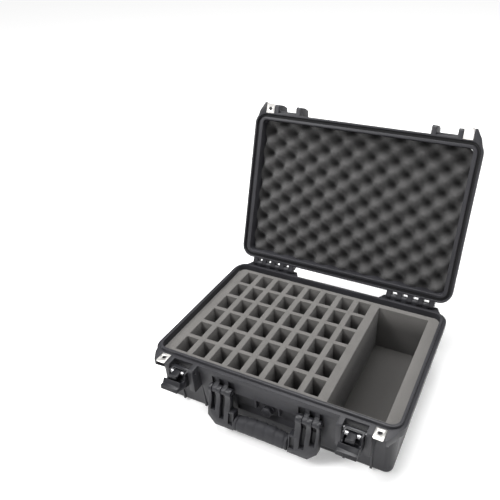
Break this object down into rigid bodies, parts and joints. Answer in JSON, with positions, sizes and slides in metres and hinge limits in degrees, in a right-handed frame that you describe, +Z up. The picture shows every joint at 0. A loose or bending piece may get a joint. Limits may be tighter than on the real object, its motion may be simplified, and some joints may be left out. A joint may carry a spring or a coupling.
{
  "type": "harmonica case",
  "caption": "Hard plastic carrying case with a hinged lid, two lever latches, a folding front handle, padlock plates, and a foam insert with harmonica slots and a long accessory well.",
  "frame": {"origin": "centre of the base's flat underside", "axes": "+X to the right along the case's width, -Y to the front with the handle and latches, +Y to the hinges, +Z up"},
  "size_m": [0.42, 0.4703, 0.4048],
  "materials": {
    "shell_plastic": "fine matte grain",
    "latch_plastic": "satin",
    "handle_plastic": "satin",
    "grip_rubber": "matte",
    "seal_rubber": "matte",
    "plate_steel": "bright satin",
    "pin_steel": "bright",
    "insert_foam": "open cell foam",
    "lid_foam": "open cell foam",
    "label_face": "smooth, bare"
  },
  "bodies": {
    "base": {"base_shell": "shell_plastic", "foam_slot_block": "insert_foam", "foam_well_surround": "insert_foam", "foam_floor_pad": "insert_foam", "valve_body": "handle_plastic", "valve_seal": "seal_rubber", "hinge_pin_left": "pin_steel", "hinge_pin_right": "pin_steel", "lock_plate_base_left": "plate_steel", "lock_plate_base_right": "plate_steel", "latch_pin_left": "pin_steel", "latch_pin_right": "pin_steel", "handle_pin_left": "pin_steel", "handle_pin_right": "pin_steel"},
    "lid": {"lid_shell": "shell_plastic", "lid_gasket": "seal_rubber", "label_plate": "label_face", "lid_foam": "lid_foam", "lock_plate_lid_left": "plate_steel", "lock_plate_lid_right": "plate_steel"},
    "handle": {"handle_frame": "handle_plastic", "handle_grip": "grip_rubber"},
    "valve": {"valve_knob": "handle_plastic"},
    "latch_left": {"latch_lever_left": "latch_plastic", "claw_pin_left": "pin_steel", "claw_spacers_left": "pin_steel"},
    "claw_left": {"latch_claw_left": "latch_plastic"},
    "latch_right": {"latch_lever_right": "latch_plastic", "claw_pin_right": "pin_steel", "claw_spacers_right": "pin_steel"},
    "claw_right": {"latch_claw_right": "latch_plastic"}
  },
  "joints": [
    {"name": "lid_hinge", "type": "hinge", "parent": "base", "child": "lid", "pos_m": [0, 0.15, 0.1126], "axis": [1, 0, 0], "range_deg": [0, 109.5]},
    {"name": "latch_left_lever", "type": "hinge", "parent": "base", "child": "latch_left", "pos_m": [-0.1455, -0.15, 0.098], "axis": [-1, 0, 0], "range_deg": [0, 85]},
    {"name": "latch_left_claw", "type": "hinge", "parent": "latch_left", "child": "claw_left", "pos_m": [-0.1455, -0.15897, 0.09878], "axis": [-1, 0, 0], "range_deg": [0, 16]},
    {"name": "latch_right_lever", "type": "hinge", "parent": "base", "child": "latch_right", "pos_m": [0.1455, -0.15, 0.098], "axis": [-1, 0, 0], "range_deg": [0, 85]},
    {"name": "latch_right_claw", "type": "hinge", "parent": "latch_right", "child": "claw_right", "pos_m": [0.1455, -0.15897, 0.09878], "axis": [-1, 0, 0], "range_deg": [0, 16]},
    {"name": "handle_hinge", "type": "hinge", "parent": "base", "child": "handle", "pos_m": [0, -0.149, 0.08], "axis": [-1, 0, 0], "range_deg": [0, 90]},
    {"name": "valve_turn", "type": "hinge", "parent": "base", "child": "valve", "pos_m": [0, -0.13696, 0.057], "axis": [0, -1, 0], "range_deg": [0, 180]}
  ]
}
